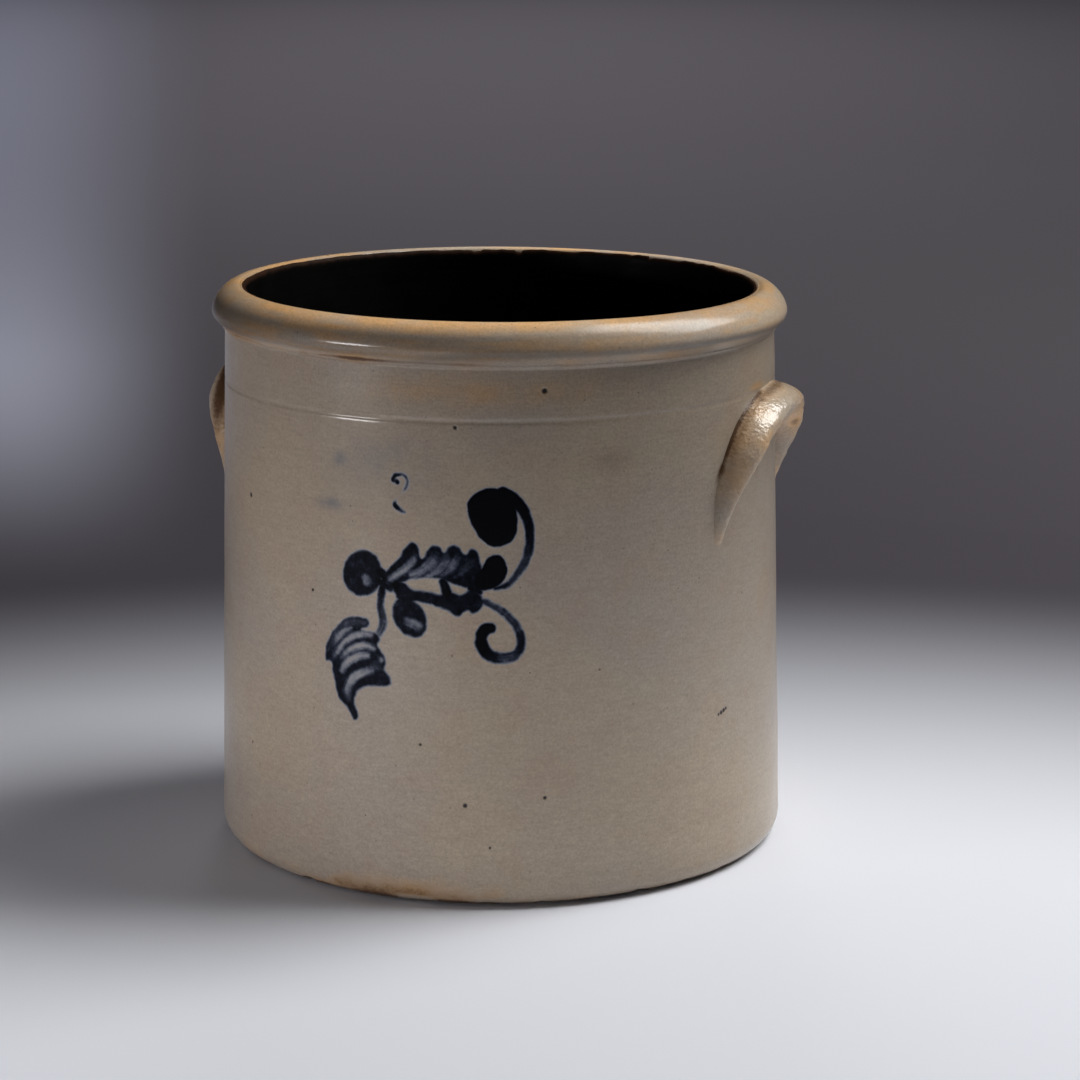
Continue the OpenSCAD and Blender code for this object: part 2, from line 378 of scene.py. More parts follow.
def glaze(paint, peel):
    """Colour, roughness and height of salt-glazed clay; peel is the depth of its orange peel."""
    broad = paint.grain(85, 2)
    mottle = paint.grain(16, 4)
    fine = paint.grain(1.0, 3, rough=0.65)
    dashes = paint.grain(5.5, 3, (1.0, 1.0, 0.22), rough=0.6)
    rings = paint.grain(60, 3, (1.0, 1.0, 0.06))

    colour = paint.blend(GREY_CLAY, TAN_CLAY, paint.steps(broad, 0.35, 0.65))
    colour = paint.blend(colour, PINK_CLAY, paint.steps(mottle, 0.42, 0.72, 0.0, 0.4))
    level = paint.plus(0.43, (dashes, 0.34), (fine, 0.72), (rings, 0.08))

    ragged = paint.math("SUBTRACT", paint.grain(9, 5), 0.5)
    toast = paint.plus(paint.value("toast"), (ragged, 0.6))
    colour = paint.blend(colour, TOASTED, paint.steps(toast, 0.1, 0.95))
    # The tone value is the clay's lightness and also carries painted light and shade on the rim and
    # handles
    colour = paint.tint(colour, paint.times(level, paint.value("tone")))
    grainy = paint.math("SUBTRACT", fine, 0.5)
    # Scorched clay, and painted shade in the creases and pocket by the handles
    scorch_and_shade = paint.plus(paint.value("scorch_and_shade"), (ragged, 0.6), (grainy, 0.6))
    colour = paint.blend(colour, SCORCH_AND_SHADE_BROWN, paint.steps(scorch_and_shade, 0.25, 0.85))
    cast = paint.times(paint.value("blue"), paint.steps(mottle, 0.2, 0.7))
    colour = paint.blend(colour, BLUE_CAST, cast)

    spots = paint.math("MAXIMUM", paint.specks(4.5, 0.5, 0.4), paint.specks(14, 0.8, 0.25))
    colour = paint.blend(colour, IRON, paint.times(spots, 0.7))

    pits = None
    for u, z, radius in PITS:
        centre = around(u / SPRIG_R, wall_r(z), z)
        near = paint.steps(paint.vector("DISTANCE", paint.mm, tuple(centre)), radius, 0.45 * radius)
        pits = paint.math("MAXIMUM", pits, near) if pits else near
    colour = paint.blend(colour, PIT, pits)

    height = paint.times(paint.grain(1.5, 2, rough=0.4), peel)
    height = paint.plus(height, (rings, 0.05), (pits, -0.35), (spots, -0.04))
    roughness = paint.steps(paint.math("ADD", mottle, scorch_and_shade), 0.3, 1.3, 0.36, 0.6)
    return colour, roughness, height


def finish_glaze(paint, colour, roughness, height, gloss=GLOSS, coat=COAT, coat_ior=COAT_IOR):
    normal = paint.bump(height)
    paint.set(
        Base_Color=colour, Roughness=roughness, Normal=normal, Coat_Normal=normal,
        Specular_IOR_Level=gloss, Coat_Weight=coat, Coat_Roughness=COAT_ROUGHNESS, Coat_IOR=coat_ior,
    )
    return paint.material


def body_material():
    paint = Paint("salt_glaze")
    return finish_glaze(paint, *glaze(paint, WALL_PEEL))


def handle_material():
    """Toasted salt glaze with a heavy orange peel, thicker and shinier towards the arch."""
    paint = Paint("handle_glaze")
    coat = paint.steps(paint.value("sheen"), 0.0, 1.0, 0.1, 1.0)
    return finish_glaze(paint, *glaze(paint, HANDLE_PEEL), coat=coat, coat_ior=HANDLE_COAT_IOR)


def cobalt_material():
    """Glazed clay where a stroke has no pigment, through grey-blue wash to blue-black slip."""
    paint = Paint("cobalt")
    colour, roughness, height = glaze(paint, WALL_PEEL)
    mottle = paint.math("SUBTRACT", paint.grain(2.4, 4, rough=0.65), 0.5)
    own = paint.value("pigment")
    pigment = paint.plus(own, (mottle, 0.6))
    slip = paint.ramp(pigment, [
        (0.0, linear(158, 155, 154)),
        (0.3, linear(132, 133, 140)),
        (0.5, linear(90, 95, 108)),
        (0.68, linear(42, 48, 64)),
        (0.85, linear(15, 18, 29)),
        (1.0, linear(4, 5, 8)),
    ])
    colour = paint.blend(colour, slip, paint.steps(own, 0.03, 0.32))
    gloss = paint.steps(own, 0.3, 0.9, GLOSS, 0.04)
    coat = paint.steps(own, 0.3, 0.9, COAT, 0.04)
    return finish_glaze(paint, colour, roughness, height, gloss, coat)


def slip_material():
    """Dark brown-black slip, a little browner where it runs thin at the lip."""
    paint = Paint("dark_slip")
    ragged = paint.math("SUBTRACT", paint.grain(4, 4), 0.5)
    thin = paint.plus(paint.value("thin"), (ragged, 0.6))
    colour = paint.blend(linear(7, 6, 6), linear(50, 31, 21), paint.steps(thin, 0.3, 1.1))
    colour = paint.tint(colour, paint.steps(paint.grain(30, 3, (1, 1, 0.1)), 0.2, 0.8, 0.7, 1.2))
    rings = paint.times(paint.grain(50, 3, (1, 1, 0.08)), 0.2)
    height = paint.plus(rings, (paint.grain(1.6, 2), 0.05))
    paint.set(
        Base_Color=colour,
        Roughness=paint.steps(paint.grain(12, 3), 0.3, 0.7, 0.45, 0.6),
        Specular_IOR_Level=0.06,
        Normal=paint.bump(height),
    )
    return paint.material


# Pot

def arc(centre_r, centre_z, rx, rz, start, end, steps):
    a = np.radians(np.linspace(start, end, steps + 1))
    return np.stack([centre_r + rx * np.cos(a), centre_z + rz * np.sin(a)], axis=-1)


def straight(start, end, steps):
    """Points from start up to but not including end."""
    t = np.arange(steps)[:, None] / steps
    return mix(np.array(start, float), np.array(end, float), t)


def inside_profile(bore_steps, floor_r):
    """Radius and height down the inside, from the crown of the rim to near the middle of the floor."""
    corner_r = BORE_R - FLOOR_ROUND
    corner_z = FLOOR_T + FLOOR_ROUND
    return np.concatenate([
        arc(CROWN_R, LIP_Z, LIP_W, LIP_DROP, 90, 180, 24)[:-1],
        straight([BORE_R, LIP_Z], [BORE_R, corner_z], bore_steps),
        arc(corner_r, corner_z, FLOOR_ROUND, FLOOR_ROUND, 0, -90, 12)[:-1],
        straight([corner_r, FLOOR_T], [floor_r, FLOOR_T], 30),
        [[floor_r, FLOOR_T]],
    ])


def roll_top():
    """Radius and height up the roll's outer face to its crown, a little leaner than an ellipse."""
    a = np.radians(np.linspace(0, 90, 28))[:-1]
    out = np.cos(a) ** (2 / ROLL_FULL)
    up = np.sin(a) ** (2 / ROLL_FULL)
    return np.stack([CROWN_R + (RIM_R - CROWN_R) * out, ROLL_Z + ROLL_TOP_H * up], axis=-1)


def pot_profile():
    """Radius and height along the pot's skin, from under the base, over the rim and down inside."""
    line_low = LINE_Z - LINE_W / 2
    line_high = LINE_Z + LINE_W / 2
    base_r = np.linspace(2.0, FOOT_R - 1.5, 40)
    base = np.stack([base_r, BASE_HOLLOW * smooth(FOOT_R - 7, FOOT_R - 16, base_r)], axis=-1)
    turn = np.radians(np.arange(12) / 12 * 180)
    line_z = LINE_Z - LINE_W / 2 * np.cos(turn)
    line = np.stack([wall_r(line_z) - LINE_DEPTH * np.sin(turn) ** 2, line_z], axis=-1)
    bead = arc(NECK_R, NECK_Z + BEAD_H / 2, BEAD_OUT, BEAD_H / 2, -90, 10, 10)
    roll_under = arc(NECK_R, ROLL_Z, RIM_R - NECK_R, ROLL_UNDER_H, -28, 0, 10)
    return np.concatenate([
        base,
        arc(FOOT_R, FOOT_ROUND_H, FOOT_INSET, FOOT_ROUND_H, -90, 0, 14)[:-1],
        straight([BELLY_R, FOOT_ROUND_H], [wall_r(line_low), line_low], 150),
        line,
        straight([wall_r(line_high), line_high], [NECK_R, NECK_Z], 20),
        bead[:-1],
        straight(bead[-1], roll_under[0], 8),
        roll_under[:-1],
        roll_top(),
        inside_profile(60, 2.0),
    ])


def profile_normals(profile):
    run = np.gradient(profile, axis=0)
    n = np.stack([run[:, 1], -run[:, 0]], axis=-1)
    return n / np.linalg.norm(n, axis=1, keepdims=True)


def wear(p):
    """How far the hand-thrown skin lies inside the true form at points p."""
    wobble = 0.3 + 0.3 * noise(p, (95, 95, 120), 1)
    dents = 0.10 + 0.10 * noise(p, (30, 30, 22), 2)
    rings = 0.035 + 0.035 * noise(p, (70, 70, 5.5), 3)
    return wobble + dents + rings


def settle(p):
    """Points p with the neck and rim lowered to where they lie on the thrown pot."""
    theta = np.arctan2(p[..., 0], -p[..., 1])
    drop = RIM_DROP + RIM_TILT * np.cos(theta - math.radians(RIM_LOW_TURN))
    lowered = p.copy()
    lowered[..., 2] -= drop * smooth(LINE_Z + LINE_W, NECK_Z, p[..., 2])
    return lowered


class Skin:
    """Where points of the pot's skin lie, with the zones and uneven patterns that its marks share."""

    def __init__(self, p, up):
        theta = np.arctan2(p[..., 0], -p[..., 1])
        self.z = p[..., 2]
        self.u = theta * SPRIG_R
        self.turn = np.degrees(theta)
        self.up = up
        self.outside = np.hypot(p[..., 0], p[..., 1]) > BORE_R + 1
        self.patchy = noise(p, (22, 22, 14), 5)
        self.drift = noise(p, (60, 60, 60), 6)
        self.streaky = noise(p, (16, 16, 1.6), 7)
        self.on_rim = smooth(BEAD_TOP_Z - 0.5, BEAD_TOP_Z + 2, self.z)
        self.crown = smooth(0.5, 0.92, up)
        self.left = self.zone(*LEFT_ZONE)
        self.right = self.zone(*RIGHT_ZONE)
        self.burnt = bell(self.turn, -9, 28.65) * smooth(-0.25, 0.45, noise(p, (15, 15, 7), 9))

    def zone(self, start, full, fade, end):
        return smooth(start, full, self.turn) * smooth(end, fade, self.turn)

    def spot(self, u, z, half_width, half_depth):
        return bell(self.u, u, half_width) * bell(self.z, z, half_depth) * self.outside


def toasting(s):
    """Toasted clay on the rim, the neck and the front below it, the foot, and over the right handle."""
    back = smooth(100, 135, np.abs(s.turn))
    rim = 0.5 + 0.34 * s.crown - 0.2 * s.right - 0.14 * s.left - 0.5 * back
    rim += 0.25 * s.drift + 0.3 * s.streaky
    neck = bell(s.z, NECK_Z + BEAD_H, 3.2) * s.outside * (0.35 + 0.5 * s.patchy)
    front = mix(0.04, 0.56, bell(s.turn, 14, 28.65))
    below = bell(s.z, NECK_Z - 9, 10) * s.outside * front * (0.9 + 0.4 * s.drift)
    foot = smooth(20, 1, s.z) * s.outside * (0.16 + 0.55 * s.burnt + 0.3 * s.patchy)
    over_handle = 0.8 * bell(s.turn, 82, 5.157) * bell(s.z, HANDLE_TOP_Z + 1.5, 2.2) * s.outside
    return np.maximum.reduce([s.on_rim * rim, neck, below, foot, over_handle])


def scorching_and_shade(s):
    """Scorched clay in the seam under the roll, at the foot and under the base; painted shade and
    flashing by the right handle.
    """
    streaks = bell(s.turn, -6, 24.06)
    uneven = 0.22 + 0.5 * s.patchy + 0.45 * streaks
    seam = bell(s.z, BEAD_TOP_Z - 0.6, 1.0) * uneven * (1 - 0.8 * s.right)
    foot = smooth(3.2, 0.6, s.z) * (0.75 + 0.3 * s.patchy) + 0.64 * smooth(15, 3, s.z) * s.burnt
    pocket_flashing_and_shade = 0.5 * bell(s.turn, 81, 2.865) * bell(s.z, CREASE_Z, 9)
    edge = CREASE_TURN + CREASE_LEAN * (s.z - CREASE_Z)
    crease_shade = 0.85 * bell(s.turn, edge, 1.2605) * smooth(158, 170, s.z) * smooth(193, 184, s.z)
    under = 0.62 * smooth(-0.9, -1.0, s.up) * (s.z < 2)
    return np.maximum(np.maximum.reduce([seam, foot, pocket_flashing_and_shade, crease_shade]) * s.outside, under)


def blueing(s):
    """Faint blue smudges where a stamp is left bare, and a smear and a dab beside it."""
    return s.spot(*STAMP) * (0.3 + 0.4 * s.patchy) + 0.9 * s.spot(*SMEAR) + 0.9 * s.spot(*DAB)


def tone_and_painted_light(s):
    """Lightness of the clay, darker up to the neck; painted light and shade at the seam, roll, crown
    and under the right handle.
    """
    neck_tone = mix(NECK_TONE, NECK_LEFT_TONE, s.left)
    wall_tone = mix(BASE_TONE, neck_tone, smooth(40, 240, s.z)) * mix(0.9, 1, smooth(0, 22, s.z))
    roll_tone = mix(mix(ROLL_TONE, ROLL_LEFT_SHADE, s.left), ROLL_RIGHT_LIGHT, s.zone(*ROLL_RIGHT_ZONE))
    crown_light = mix(mix(CROWN_LIGHT, CROWN_LEFT_LIGHT, s.left), CROWN_RIGHT_LIGHT, s.right)
    rim_tone = mix(roll_tone, crown_light, s.crown)
    # Painted light at the seam under the roll at the front, and painted shade just under the roll on
    # the right
    shaded = s.zone(*SHADED_ZONE)
    seam = bell(s.z, BEAD_TOP_Z + 3.2 * shaded, mix(1.2, 2.0, shaded)) * s.outside * (1 - s.left)
    seam_light_and_shade = 1 + mix(0.3, -0.54, shaded) * seam
    # Painted shade on the wall under the right handle's arch
    arch_shade = 1 - 0.2 * s.spot(*ARCH_SHADE_SPOT)
    return mix(wall_tone, rim_tone, s.on_rim) * seam_light_and_shade * arch_shade * (1 + 0.06 * s.drift)


def pot_marks(p, up):
    """Values at points of the pot that its glaze reads; up is the rise of the skin's normal."""
    s = Skin(p, up)
    return {
        "toast": np.clip(toasting(s), 0, 1),
        "scorch_and_shade": np.clip(scorching_and_shade(s), 0, 1),
        "blue": np.clip(blueing(s), 0, 1),
        "tone": tone_and_painted_light(s),
    }


def make_pot(material):
    profile = pot_profile()
    normals = profile_normals(profile)
    r, z = profile[:, :1], profile[:, 1:]
    true = around(ALL_ROUND, r, z)
    upright = (r > BORE_R + 1) & (z > FOOT_ROUND_H) & (z < ROLL_Z)
    push = np.where(upright, [1.0, 0.0], normals)
    outward = around(ALL_ROUND, push[:, :1], push[:, 1:])
    depth = wear(true)
    inside = (normals[:, 0] < -0.5) | ((normals[:, 1] > 0.9) & (profile[:, 1] < BODY_H / 2))
    depth[inside] *= INSIDE_WEAR
    depth[profile[:, 1] < 0.01] = 0.0
    chipped = smooth(0.35, 0.75, noise(true, (7, 7, 5), 8)) * smooth(4.5, 1.0, true[..., 2])
    depth += CHIP_DEPTH * chipped * (r > FOOT_R - 4)
    points = settle(true - outward * depth[..., None])
    points[..., 2] = np.maximum(points[..., 2], 0.0)
    marks = pot_marks(true, np.broadcast_to(normals[:, 1:], depth.shape))
    centres = np.array([[0, 0, points[0, 0, 2]], [0, 0, FLOOR_T]])
    points = np.vstack([points.reshape(-1, 3), centres])
    return make_piece("pot", points, capped_faces(len(profile), AROUND), material, capped_values(marks))


# Handles

TAIL_RUN = 4.0
TAIL_Z = HANDLE_TOP_Z - HANDLE_H - TAIL_RUN
ARCH_MID_Z = HANDLE_TOP_Z - ARCH_W / 2
TAIL_S = (HANDLE_W - TAIL_W) / 2
SHOULDER_SHARE = 0.72
KNEE_SHARE = 0.81
KNEE_RISE = 0.59
NARROWS_AT = 0.72
HANDLE_CURVE = np.array([
    [0, ARCH_MID_Z],
    [SHOULDER_SHARE * TAIL_S, ARCH_MID_Z],
    [KNEE_SHARE * TAIL_S, TAIL_Z + KNEE_RISE * (HANDLE_H + TAIL_RUN)],
    [TAIL_S, TAIL_Z],
])
LEG_STEPS = 90
SECTION_STEPS = 44
BACK_STEPS = 8
HANDLE_SINK = 2.5
EDGE_SINK = 0.15
TAIL_WIPE = 1.6


def handle_line(t):
    """A point of the strap's middle line and its heading, at shares t from the arch to a tail."""
    t = t[:, None]
    a, b, c, d = HANDLE_CURVE
    at = a * (1 - t) ** 3 + b * 3 * t * (1 - t) ** 2 + c * 3 * t**2 * (1 - t) + d * t**3
    slope = (b - a) * (1 - t) ** 2 + (c - b) * 2 * t * (1 - t) + (d - c) * t**2
    return at, slope / np.linalg.norm(slope, axis=1, keepdims=True)


def strap_section(t, full, slope):
    """Places across the strap and out from the wall, round its section at shares t, and its widths."""
    width = mix(mix(ARCH_W, LEG_W, smooth(0, NARROWS_AT, t)), TAIL_W, smooth(NARROWS_AT, 1, t))[:, None]
    reach = mix(HANDLE_REACH, TAIL_T, smooth(full, 1, t)) - TAIL_WIPE * smooth(0.8, 1, t)
    # The section slopes on its outer side and is full on its inner side, and runs out at the tails
    a = np.linspace(0, math.pi, SECTION_STEPS + 1)
    runs_out = smooth(0.5, 0.95, t)[:, None]
    sharp = np.where(np.cos(a) > 0, mix(slope, 1.9, runs_out), mix(0.8, 1.6, runs_out))
    front_out = reach[:, None] * np.clip(np.sin(a), 0, 1) ** sharp - EDGE_SINK
    front_across = width / 2 * np.cos(a)
    back = np.linspace(front_across[:, -1], front_across[:, 0], BACK_STEPS + 1, axis=1)
    across = np.concatenate([front_across, back], axis=1)
    out = np.concatenate([front_out, np.full(back.shape, -HANDLE_SINK)], axis=1)
    return across, out, width


def strap_marks(share, across, out, width, patchy, char, char_out):
    """Values at points of a strap that its glaze reads: painted shade in creases, charring, sheen and
    lightness.
    """
    share = share[:, None]
    t = np.abs(share)
    outer = across > 0
    inner = smooth(0.1, -0.5, 2 * across / width)
    arch = smooth(0.75, 0.25, t)
    legs = smooth(0.03, 0.16, t) * smooth(0.78, 0.6, t)
    # Painted shade in the crease where the strap meets the wall, most on its outer side
    low = bell(out, 0.2, 3.0) * (out > -0.5)
    crease_shade = low * legs * np.where(outer, 0.98, 0.3) * (0.85 + 0.3 * patchy)
    inside_arch = bell(share, 0.42, 0.07) * bell(out, 9.0, 2.6) * ~outer
    flank = bell(out, char_out, 4.2) * outer * smooth(0.8, 0.5, t)
    toast = 0.34 - 0.02 * arch + 0.2 * inner * arch + 0.5 * inside_arch + 0.22 * patchy + 0.2 * flank
    scorch_and_shade = np.maximum.reduce([crease_shade, 0.6 * inside_arch, char * flank])
    # On the strap's inner side the tone is raised as painted light
    return {
        "toast": np.clip(toast, 0, 1),
        "scorch_and_shade": np.clip(scorch_and_shade, 0, 1),
        "blue": np.zeros(across.shape),
        "sheen": arch * (1 - 0.8 * inner),
        "tone": mix(TAIL_TONE, ARCH_TONE, arch) + 0.2 * inner,
    }


def make_handle(name, material, full, slope, char, char_out, turn, lift, side):
    """A strap of clay swept along the wall."""
    share = np.linspace(-1, 1, 2 * LEG_STEPS + 1)
    t = np.abs(share)
    leg = np.where(share < 0, -1.0, 1.0)[:, None]
    at, heading = handle_line(t)
    across, out, width = strap_section(t, full, slope)
    s = leg * at[:, :1] - leg * heading[:, 1:] * across
    z = at[:, 1:] + lift + heading[:, :1] * across
    theta = math.radians(90 + turn) + s / wall_r(ARCH_MID_Z)
    wall = wall_r(z)
    skin = around(theta, wall + out, z)
    dents = 0.5 + 0.3 * noise(skin, (13, 13, 13), 11) + 0.2 * noise(skin, (5, 5, 5), 12)
    peel = 0.5 + 0.5 * noise(skin, (2.3, 2.3, 2.3), 13)
    sunk = np.clip(out / 3, 0, 1) * (0.75 * dents + 0.5 * peel)
    points = around(theta, wall + out - sunk - wear(around(theta, wall, z)), z)
    points[..., 0] *= side
    marks = strap_marks(share, across, out, width, noise(points, (9, 9, 9), 14), char, char_out)
    faces = capped_faces(*across.shape)
    if side > 0:
        faces = [f[::-1] for f in faces]
    ends = [points[0].mean(axis=0), points[-1].mean(axis=0)]
    points = np.vstack([points.reshape(-1, 3), ends])
    return make_piece(name, points, faces, material, capped_values(marks, tone=1))


# Slip lining

NICKED_TURN = 165.0
NICK_DEPTH = 2.6


def lining_start(theta):
    """How far inside the crown the slip begins, ragged at the lip and nicked at the far right."""
    edge = around(theta, BORE_R, LIP_Z)
    far_right = bell(np.angle(np.exp(1j * (theta - math.radians(NICKED_TURN)))), 0, 0.6)
    ragged = (0.22 + 0.5 * far_right) * (noise(edge, (9, 9, 9), 21) + noise(edge, (3, 3, 3), 22))
    nicks = smooth(0.42, 0.6, noise(edge, (4.5, 4.5, 4.5), 23)) * far_right
    return LINING_START + ragged + NICK_DEPTH * nicks


def make_lining(material):
    inside = inside_profile(80, 1.0)
    normals = profile_normals(inside)
    run = np.append(0, np.cumsum(np.linalg.norm(np.diff(inside, axis=0), axis=1)))
    depth = np.concatenate([[0, 0.35, 0.8, 1.4, 2.2, 3.2], np.linspace(4.5, run[-1], 130)])
    start = lining_start(ALL_ROUND)
    along = start + depth[:, None] * ((run[-1] - start) / run[-1])
    r, z, n_r, n_z = [np.interp(along, run, values) for values in (*inside.T, *normals.T)]
    lift = mix(-LINING_TUCK, LINING_T, smooth(-0.4, 1.2, depth))[:, None]
    front = settle(around(ALL_ROUND, r + n_r * lift, z + n_z * lift))
    back = settle(around(ALL_ROUND, r - n_r * LINING_BED, z - n_z * LINING_BED))
    centres = np.array([[0, 0, FLOOR_T + LINING_T], [0, 0, FLOOR_T - LINING_BED]])
    points = np.vstack([front.reshape(-1, 3), back.reshape(-1, 3), centres])

    rows = len(depth)
    count = rows * AROUND
    lip = list(range(AROUND))
    front_end = [count - AROUND + j for j in lip]
    back_end = [count + j for j in front_end]
    faces = grid_faces(rows, AROUND, closed=True)
    faces += [f[::-1] for f in grid_faces(rows, AROUND, closed=True, first=count)]
    faces += [[k, j, count + j, count + k] for j, k in zip(lip, lip[1:] + lip[:1])]
    faces += fan_faces(2 * count, front_end) + fan_faces(2 * count + 1, back_end[::-1])
    thin = np.repeat(smooth(5, 0, depth), AROUND)
    return make_piece("lining", points, faces, material, {"thin": np.concatenate([thin, thin, [0, 0]])})


# Sprig

# In hundredths of its width from its middle. Solid shapes are a pigment and an outline; strokes and
# wipes are lists of [across, up, stroke width, pigment along the middle]
SHAPES = {
    "big_bulb": (1.35, [
        [21.8, 48.7], [23.6, 52.4], [27.3, 55.2], [31.8, 56.4], [36.8, 55.9], [41.8, 53.4], [44, 48.8],
        [44.7, 41.9], [44.7, 37.3], [43.1, 33.2], [39.9, 30.5], [35.4, 29.3], [30.8, 30.5],
        [26.8, 34.1], [24, 39.1], [22.2, 44.1],
    ]),
    "small_bulb": (1.35, [
        [28.5, 19.8], [30.4, 23.3], [33.1, 25.2], [35.8, 25.6], [38.1, 24.5], [39.6, 21.9],
        [40.1, 18.5], [38.9, 14.8], [36.2, 11.5], [32.6, 9.5], [27.6, 9.2], [24.9, 10.1], [24.9, 16.5],
    ]),
    "flower": (0.89, [
        [-18.4, 14.9], [-19.5, 10.1], [-22.3, 6], [-26.6, 3.4], [-31.3, 2.9], [-35.7, 4.5], [-38.8, 8],
        [-39.9, 12.6], [-38.8, 17.6], [-35.7, 21.8], [-31.3, 24.4], [-26.5, 24.9], [-22.3, 23.2],
        [-19.5, 19.6],
    ]),
    "oval_bud": (0.87, [
        [1.1, -0.2], [2.9, -4.3], [3.1, -8.5], [1.6, -11.9], [-1.3, -13.9], [-5, -14], [-8.8, -12.3],
        [-12, -9.1], [-13.9, -5], [-14, -0.8], [-12.5, 2.7], [-9.5, 4.7], [-5.8, 4.8], [-2, 3.1],
    ]),
    "wing": (0.92, [
        [-17.6, 15.6], [-14.1, 19.2], [-10.6, 22.9], [-8.2, 26.8], [-5.8, 29.5], [-3.9, 30.6],
        [-1.9, 29.6], [-0.5, 27.1], [0.2, 23.9], [1.4, 24], [3.5, 27.6], [5.6, 29.4], [7.9, 29.7],
        [9.8, 28.5], [11, 26.7], [12.3, 28], [14, 29.6], [15.8, 30.2], [17.9, 29.1], [19.5, 27],
        [21.1, 26.4], [22.4, 28], [24.2, 28.7], [26.1, 27.6], [27.4, 25.3], [28.1, 22.1], [29.4, 16.6],
        [29.4, 9.7], [24.9, 9.8], [21.2, 10.2], [16.2, 11.2], [12.1, 12.7], [8.4, 13.7], [2.3, 13.8],
        [-3.9, 13], [-7.7, 11.3], [-11.7, 10.1], [-15.6, 10.7], [-17.6, 12.8],
    ]),
    "under_wing": (0.9, [
        [-13.6, 10.9], [-9.7, 12.3], [-6.8, 10.9], [-3.9, 8.8], [-0.1, 8.4], [4.6, 7.9], [9.3, 7],
        [12.1, 9.8], [14.8, 8.6], [18.5, 7.4], [20.8, 8.2], [22.1, 9.6], [24.8, 10.2], [27.6, 8],
        [29.6, 4], [28.5, 0.8], [26.2, -1], [23.9, -1.8], [21.9, -0.4], [20.3, -1.2], [18.9, -3.1],
        [17.1, -3.4], [14.8, -2.1], [12.5, -0.5], [7.4, 0.9], [2.3, 2], [-2.5, 2.4], [-5.8, 0.8],
        [-10.7, 2.7], [-13.1, 5.8],
    ]),
    "leaf": (0.86, [
        [-25.3, -9.4], [-26.8, -7], [-31.1, -6.6], [-35.4, -7.1], [-39.2, -9], [-43.5, -12.9],
        [-46.6, -16.9], [-49, -21.5], [-49.9, -25.9], [-49.6, -29.7], [-47.8, -30.1], [-46.1, -31.1],
        [-45.8, -35.3], [-44.4, -39.8], [-43.5, -44], [-41.6, -47.5], [-37.7, -50.3], [-35.5, -53.6],
        [-33.8, -56], [-32, -55.7], [-31.2, -53.4], [-32, -50.4], [-33.3, -47.3], [-33, -44.9],
        [-31.1, -42], [-28, -40], [-23.3, -38.7], [-18.7, -38.7], [-15.7, -38.1], [-14.2, -36.3],
        [-15, -33.3], [-16.9, -30.9], [-17.4, -29.3], [-16.7, -26.9], [-17.7, -23.7], [-19.7, -21.1],
        [-21, -18.9], [-19.7, -16.4], [-20.7, -13.7], [-24.3, -12.9], [-29, -12.4], [-26.3, -11.4],
    ]),
}
STROKES = {
    "stem": [
        [-17.4, 12, 4.4, 0.95], [-18.6, 7.4, 4.2, 0.9], [-19.4, 3, 4.1, 0.82], [-19.6, -1.4, 4.1, 0.78],
        [-18.6, -6.9, 4.3, 0.74], [-19.2, -11.6, 4.1, 0.66], [-22.2, -14.8, 3.2, 0.56],
        [-26.9, -15.7, 2.3, 0.4],
    ],
    "upper_scroll": [
        [34.4, 10.2, 2.3, 1], [39.4, 11.5, 3, 0.9], [42.6, 14.3, 3.4, 0.8], [45.7, 18.4, 4.1, 0.76],
        [48.5, 23.4, 4.5, 0.8], [50.1, 28.9, 4.8, 0.88], [50.3, 34.9, 4.8, 0.95], [49.4, 41.3, 5, 1],
        [46.7, 46.9, 5.7, 1.1], [42.7, 51.1, 6.4, 1.2], [37.7, 53.9, 6.4, 1.3],
    ],
    "lower_scroll": [
        [24.9, 4, 4.1, 1], [29.4, 3.9, 3.4, 0.85], [33.9, 1.8, 3.6, 0.78], [38.4, -1.2, 3.9, 0.76],
        [42, -4.7, 4.1, 0.78], [44.8, -9, 4.3, 0.82], [46.3, -13.7, 4.5, 0.9], [45.6, -18.3, 4.8, 0.85],
        [42.5, -21.3, 5.2, 0.78], [38.4, -22.2, 5.5, 0.74], [34.3, -21.9, 5.9, 0.88],
        [30.7, -20.1, 6.4, 1], [28.4, -16.4, 6.4, 1.1], [28, -12.7, 5.9, 1.1], [29.8, -8.9, 5.9, 1.1],
        [32.5, -8.2, 5, 1.1],
    ],
    "knot": [[-20.1, 15.4, 5.2, 1], [-15.8, 12.6, 5.6, 0.95], [-11.6, 9.6, 5.2, 1]],
    "lower_knot": [[-20.1, 10.6, 4.2, 0.95], [-14.6, 8.2, 4, 0.9]],
    "wing_link": [[10.6, 12.9, 4.6, 1], [12.6, 7.4, 5.4, 1]],
    "wing_tip": [[23.2, 10.2, 3.4, 1], [27.2, 8.6, 3.6, 1]],
}
